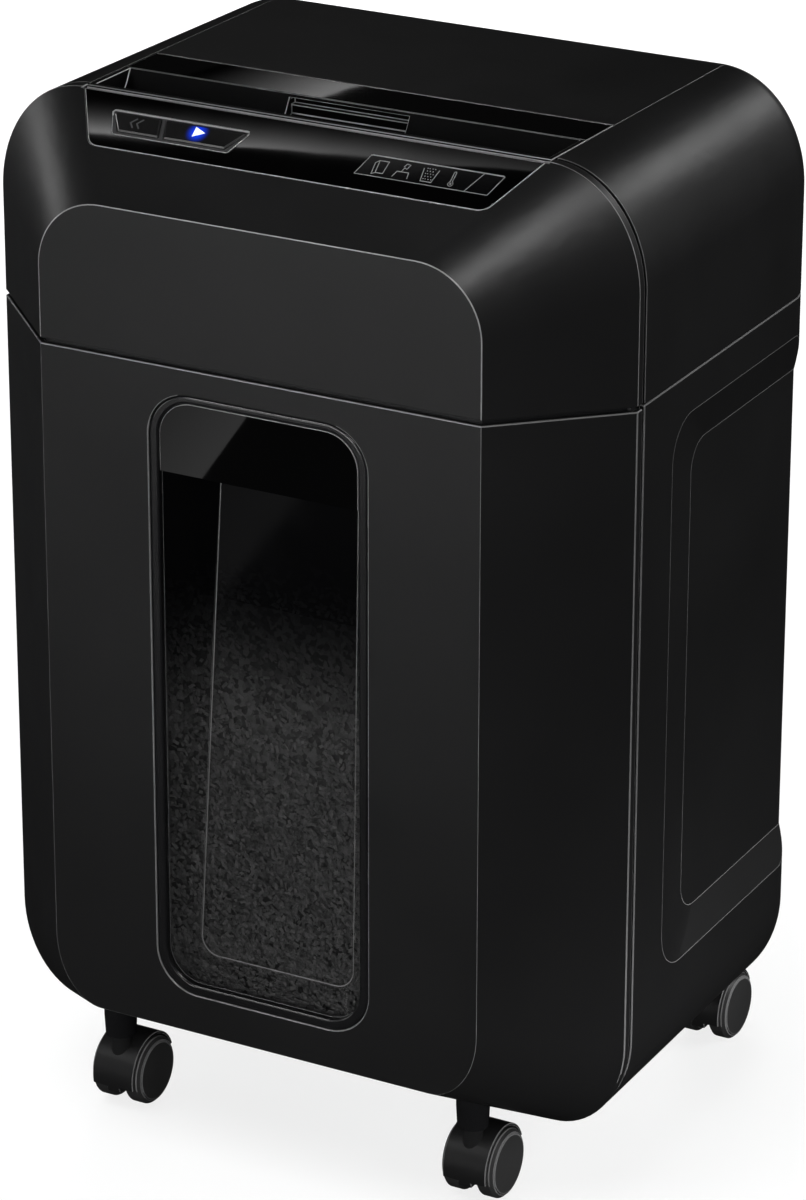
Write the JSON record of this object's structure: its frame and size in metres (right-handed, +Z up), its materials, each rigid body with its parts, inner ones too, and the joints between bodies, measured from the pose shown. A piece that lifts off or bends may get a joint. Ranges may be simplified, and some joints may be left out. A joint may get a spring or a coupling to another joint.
{
  "type": "paper shredder",
  "caption": "Free-standing paper shredder with a bevelled black cabinet, a feed slot and buttons on its head, a pull-out bin with a dished window, and swivel casters.",
  "frame": {"origin": "on the floor, under the middle of the part's length, width and depth", "axes": "+Z up, the front with window and controls faces -Y, +X to the right of someone who looks along +Y at the front"},
  "size_m": [0.32, 0.2516, 0.491],
  "materials": {
    "cabinet_plastic": "fine-textured satin black",
    "gloss_black": "polished black",
    "rim_plastic": "semi-gloss black",
    "smoked_window": "smoked, clear",
    "lens_plastic": "dark tinted, glossy",
    "button_plastic": "glossy black with a bright edge",
    "tub_plastic": "matte dark grey",
    "cutter_steel": "ground and oiled",
    "zinc_steel": "zinc plated",
    "comb_plastic": "matte",
    "bush_bronze": "sintered bronze",
    "gear_nylon": "natural nylon",
    "pinion_steel": "ground",
    "motor_paint": "dark enamel",
    "capacitor_can": "drawn can",
    "board_laminate": "green solder mask",
    "gland_rubber": "moulded",
    "switch_plastic": "moulded",
    "caster_plastic": "satin black",
    "caster_steel": "bright",
    "wheel_plastic": "smooth black nylon"
  },
  "bodies": {
    "cabinet": {"front_bezel": "cabinet_plastic", "control_panel": "gloss_black", "button_frame": "rim_plastic", "indicator_lens": "lens_plastic", "control_board": "board_laminate", "head_cheek_right": "cabinet_plastic", "head_cheek_left": "cabinet_plastic", "top_cover": "cabinet_plastic", "feed_throat": "cabinet_plastic", "top_strip": "gloss_black", "side_cover_right": "cabinet_plastic", "side_cover_left": "cabinet_plastic", "rear_panel": "cabinet_plastic", "rear_screws": "zinc_steel", "base_plate": "cabinet_plastic", "deck_plate": "tub_plastic", "cutter_plate_right": "zinc_steel", "cutter_plate_left": "zinc_steel", "cutter_rods": "zinc_steel", "cutter_bushes": "bush_bronze", "stripper_comb_front": "comb_plastic", "stripper_comb_rear": "comb_plastic", "motor_body": "motor_paint", "run_capacitor": "capacitor_can", "power_board": "board_laminate", "cord_gland": "gland_rubber", "switch_housing": "rim_plastic", "interlock_switch": "switch_plastic", "caster_sockets": "rim_plastic"},
    "bin": {"bin_front": "cabinet_plastic", "window_rim": "rim_plastic", "bin_window": "smoked_window", "bin_grip": "gloss_black", "bin_tub": "tub_plastic"},
    "start_key": {"start_button": "button_plastic"},
    "reverse_key": {"reverse_button": "button_plastic"},
    "rocker": {"power_rocker": "button_plastic"},
    "rear_cutter": {"cutter_shaft_rear": "cutter_steel", "timing_gear_rear": "gear_nylon"},
    "front_cutter": {"cutter_shaft_front": "cutter_steel", "timing_gear_front": "gear_nylon"},
    "idler": {"idler_gear": "gear_nylon"},
    "rotor": {"motor_pinion": "pinion_steel"},
    "caster_front_left": {"caster_hood_front_left": "caster_plastic", "caster_pins_front_left": "caster_steel"},
    "wheel_front_left_outer": {"wheel_front_left_outer": "wheel_plastic"},
    "wheel_front_left_inner": {"wheel_front_left_inner": "wheel_plastic"},
    "caster_front_right": {"caster_hood_front_right": "caster_plastic", "caster_pins_front_right": "caster_steel"},
    "wheel_front_right_outer": {"wheel_front_right_outer": "wheel_plastic"},
    "wheel_front_right_inner": {"wheel_front_right_inner": "wheel_plastic"},
    "caster_rear_left": {"caster_hood_rear_left": "caster_plastic", "caster_pins_rear_left": "caster_steel"},
    "wheel_rear_left_outer": {"wheel_rear_left_outer": "wheel_plastic"},
    "wheel_rear_left_inner": {"wheel_rear_left_inner": "wheel_plastic"},
    "caster_rear_right": {"caster_hood_rear_right": "caster_plastic", "caster_pins_rear_right": "caster_steel"},
    "wheel_rear_right_outer": {"wheel_rear_right_outer": "wheel_plastic"},
    "wheel_rear_right_inner": {"wheel_rear_right_inner": "wheel_plastic"}
  },
  "joints": [
    {"name": "bin_slide", "type": "slide", "parent": "cabinet", "child": "bin", "axis": [0, -1, 0], "range_m": [0, 0.19]},
    {"name": "start_press", "type": "slide", "parent": "cabinet", "child": "start_key", "axis": [0, 0.5984, -0.8012], "range_m": [0, 0.0015], "stiffness_N_per_m": 300},
    {"name": "reverse_press", "type": "slide", "parent": "cabinet", "child": "reverse_key", "axis": [0, 0.5984, -0.8012], "range_m": [0, 0.0015], "stiffness_N_per_m": 300},
    {"name": "power_rock", "type": "hinge", "parent": "cabinet", "child": "rocker", "pos_m": [0.092, 0.1112, 0.413], "axis": [1, 0, 0], "range_deg": [-16, 0]},
    {"name": "rear_cutter_spin", "type": "hinge", "parent": "cabinet", "child": "rear_cutter", "pos_m": [0, -0.0418, 0.426], "axis": [1, 0, 0], "continuous": true},
    {"name": "front_cutter_spin", "type": "hinge", "parent": "cabinet", "child": "front_cutter", "pos_m": [0, -0.0768, 0.426], "axis": [1, 0, 0], "continuous": true},
    {"name": "idler_spin", "type": "hinge", "parent": "cabinet", "child": "idler", "pos_m": [0.13, -0.01831, 0.43455], "axis": [1, 0, 0], "continuous": true},
    {"name": "rotor_spin", "type": "hinge", "parent": "cabinet", "child": "rotor", "pos_m": [0.13, 0.01769, 0.43455], "axis": [1, 0, 0], "continuous": true},
    {"name": "caster_front_left_swivel", "type": "hinge", "parent": "cabinet", "child": "caster_front_left", "pos_m": [-0.094, -0.0978, 0.0165], "axis": [0, 0, 1], "continuous": true},
    {"name": "wheel_front_left_outer_spin", "type": "hinge", "parent": "caster_front_left", "child": "wheel_front_left_outer", "pos_m": [-0.094, -0.0878, 0.0165], "axis": [1, 0, 0], "continuous": true},
    {"name": "wheel_front_left_inner_spin", "type": "hinge", "parent": "caster_front_left", "child": "wheel_front_left_inner", "pos_m": [-0.094, -0.0878, 0.0165], "axis": [1, 0, 0], "continuous": true},
    {"name": "caster_front_right_swivel", "type": "hinge", "parent": "cabinet", "child": "caster_front_right", "pos_m": [0.094, -0.0978, 0.0165], "axis": [0, 0, 1], "continuous": true},
    {"name": "wheel_front_right_outer_spin", "type": "hinge", "parent": "caster_front_right", "child": "wheel_front_right_outer", "pos_m": [0.094, -0.0878, 0.0165], "axis": [1, 0, 0], "continuous": true},
    {"name": "wheel_front_right_inner_spin", "type": "hinge", "parent": "caster_front_right", "child": "wheel_front_right_inner", "pos_m": [0.094, -0.0878, 0.0165], "axis": [1, 0, 0], "continuous": true},
    {"name": "caster_rear_left_swivel", "type": "hinge", "parent": "cabinet", "child": "caster_rear_left", "pos_m": [-0.117, 0.0972, 0.0165], "axis": [0, 0, 1], "continuous": true},
    {"name": "wheel_rear_left_outer_spin", "type": "hinge", "parent": "caster_rear_left", "child": "wheel_rear_left_outer", "pos_m": [-0.117, 0.1072, 0.0165], "axis": [1, 0, 0], "continuous": true},
    {"name": "wheel_rear_left_inner_spin", "type": "hinge", "parent": "caster_rear_left", "child": "wheel_rear_left_inner", "pos_m": [-0.117, 0.1072, 0.0165], "axis": [1, 0, 0], "continuous": true},
    {"name": "caster_rear_right_swivel", "type": "hinge", "parent": "cabinet", "child": "caster_rear_right", "pos_m": [0.117, 0.0972, 0.0165], "axis": [0, 0, 1], "continuous": true},
    {"name": "wheel_rear_right_outer_spin", "type": "hinge", "parent": "caster_rear_right", "child": "wheel_rear_right_outer", "pos_m": [0.117, 0.1072, 0.0165], "axis": [1, 0, 0], "continuous": true},
    {"name": "wheel_rear_right_inner_spin", "type": "hinge", "parent": "caster_rear_right", "child": "wheel_rear_right_inner", "pos_m": [0.117, 0.1072, 0.0165], "axis": [1, 0, 0], "continuous": true}
  ],
  "couplings": [
    {"joint": "front_cutter_spin", "follows": "rear_cutter_spin", "ratio": -1},
    {"joint": "idler_spin", "follows": "rear_cutter_spin", "ratio": -2.3333},
    {"joint": "rotor_spin", "follows": "rear_cutter_spin", "ratio": 11.667}
  ]
}
